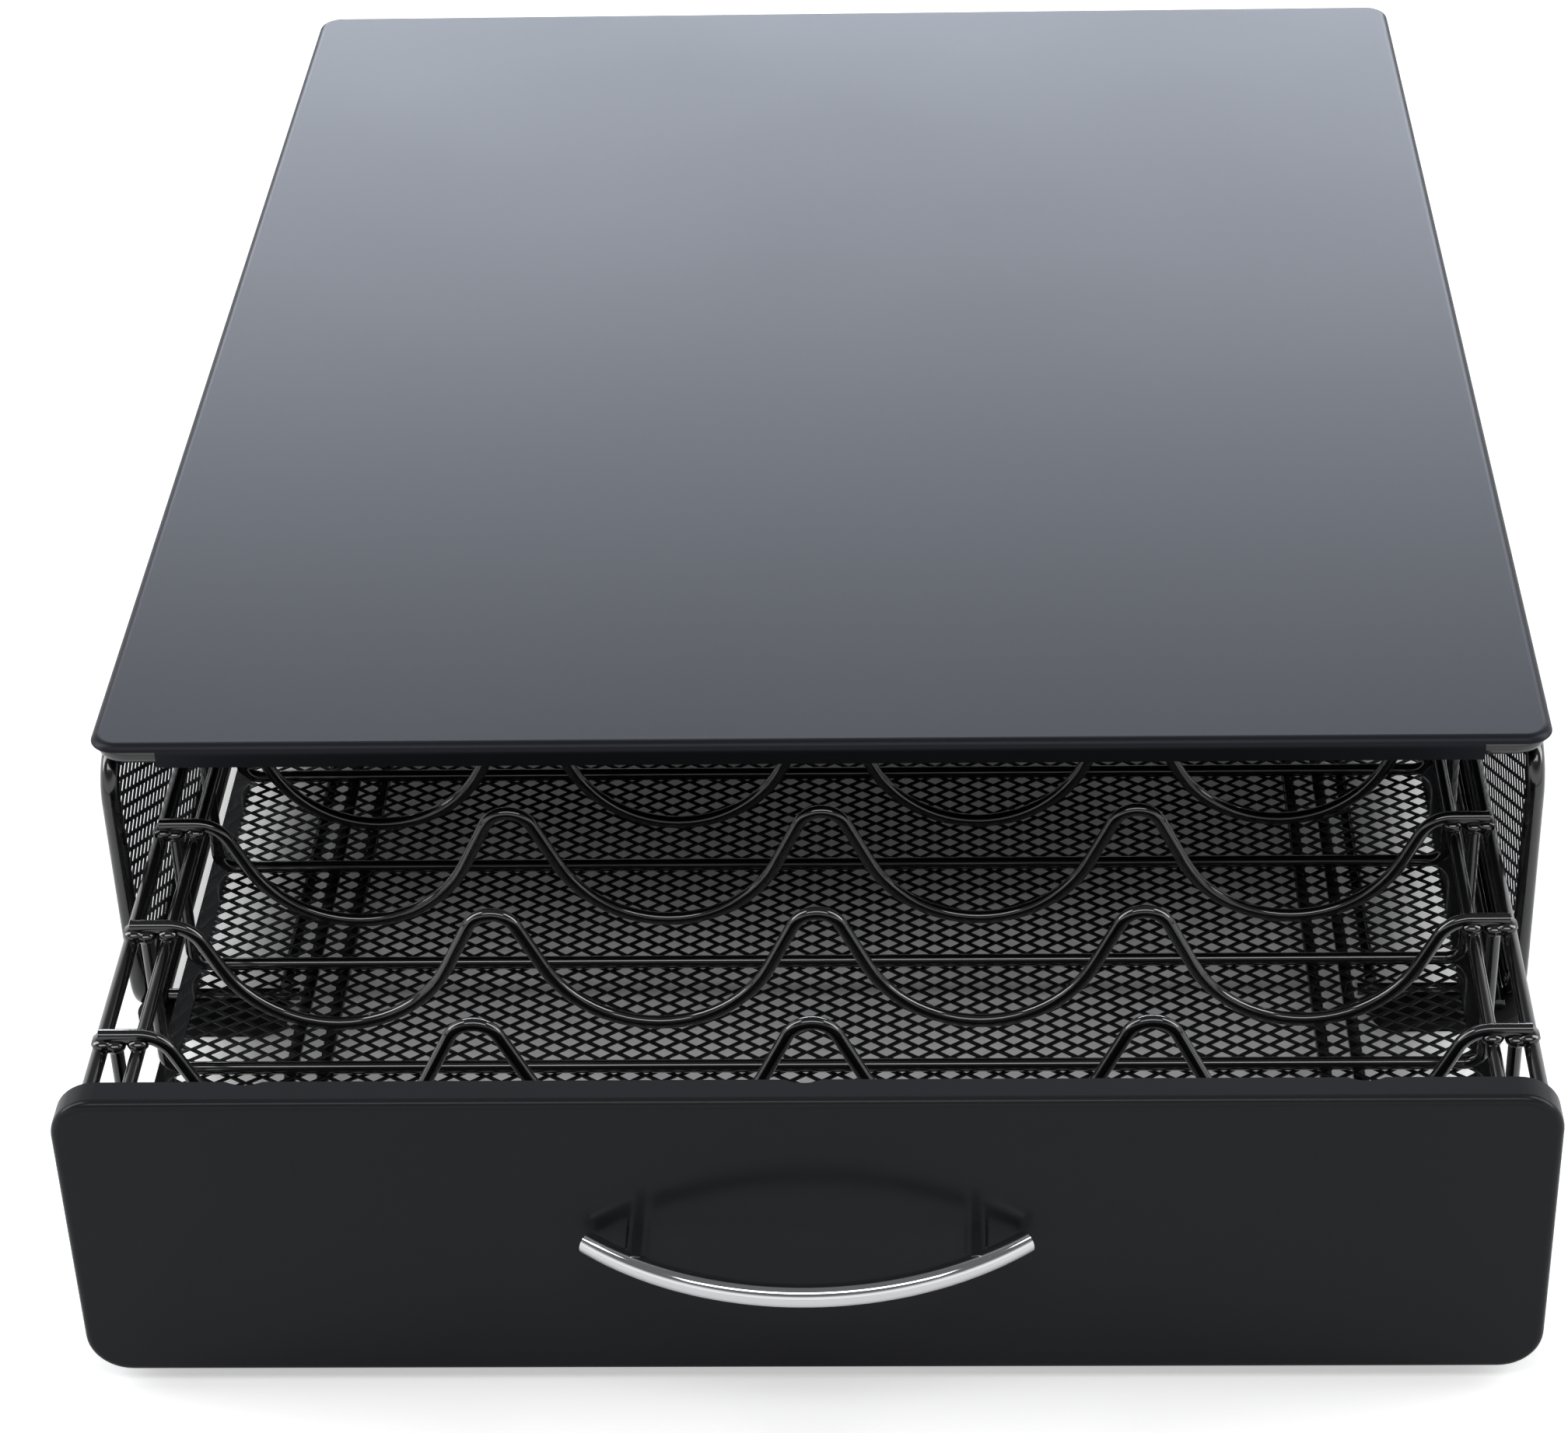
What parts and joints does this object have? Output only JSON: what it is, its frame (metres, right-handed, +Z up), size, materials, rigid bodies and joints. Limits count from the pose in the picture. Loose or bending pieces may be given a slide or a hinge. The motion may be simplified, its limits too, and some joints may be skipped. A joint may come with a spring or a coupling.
{
  "type": "coffee pod drawer",
  "caption": "Black wire and net cabinet with a flat sheet top and a sliding wire drawer whose wavy wires hold coffee pods on edge; chrome bow handle.",
  "frame": {"origin": "centre of the footprint of the whole object at rest, drawer pulled out as pictured, on the counter plane", "axes": "+X to the object's right as seen from the front, +Y from the drawer front to the cabinet's rear, +Z up; the drawer opens towards -Y"},
  "size_m": [0.305, 0.4914, 0.078],
  "materials": {
    "sheet_paint": "satin black powder coat on pressed sheet",
    "wire_paint": "semi-gloss black powder coat on wire",
    "net_paint": "semi-gloss black powder coat on expanded net",
    "chrome": "polished chrome plate",
    "screw_steel": "zinc plated",
    "foot_rubber": "matte black",
    "glide_plastic": "matte black"
  },
  "bodies": {
    "cabinet": {"top_panel": "sheet_paint", "top_frame": "wire_paint", "left_side_frame": "wire_paint", "left_net_frame": "wire_paint", "left_side_net": "net_paint", "left_base_rail": "wire_paint", "left_runner": "wire_paint", "left_runner_bracket": "wire_paint", "front_left_foot": "foot_rubber", "rear_left_foot": "foot_rubber", "right_side_frame": "wire_paint", "right_net_frame": "wire_paint", "right_side_net": "net_paint", "right_base_rail": "wire_paint", "right_runner": "wire_paint", "right_runner_bracket": "wire_paint", "front_right_foot": "foot_rubber", "rear_right_foot": "foot_rubber", "rear_net_frame": "wire_paint", "rear_net": "net_paint", "catch_bar": "wire_paint", "rear_cross_bar": "wire_paint"},
    "drawer": {"front_panel": "sheet_paint", "panel_glide": "glide_plastic", "handle_bar": "chrome", "handle_posts": "chrome", "handle_screws": "screw_steel", "basket_rim": "wire_paint", "left_side_wire": "wire_paint", "right_side_wire": "wire_paint", "left_stop_tab": "wire_paint", "right_stop_tab": "wire_paint", "rib_1": "wire_paint", "rib_2": "wire_paint", "rib_3": "wire_paint", "rib_4": "wire_paint", "rib_5": "wire_paint", "rib_6": "wire_paint", "rib_7": "wire_paint", "rib_8": "wire_paint", "rib_9": "wire_paint", "wave_1": "wire_paint", "wave_2": "wire_paint", "wave_3": "wire_paint", "wave_4": "wire_paint", "wave_5": "wire_paint", "wave_6": "wire_paint", "wave_7": "wire_paint", "wave_8": "wire_paint", "wave_9": "wire_paint", "floor_frame": "wire_paint", "floor_net": "net_paint", "floor_wire_1": "wire_paint", "floor_wire_2": "wire_paint", "floor_wire_3": "wire_paint", "floor_wire_4": "wire_paint"}
  },
  "joints": [
    {"name": "drawer_slide", "type": "slide", "parent": "cabinet", "child": "drawer", "axis": [0, -1, 0], "range_m": [-0.106, 0.15]}
  ]
}
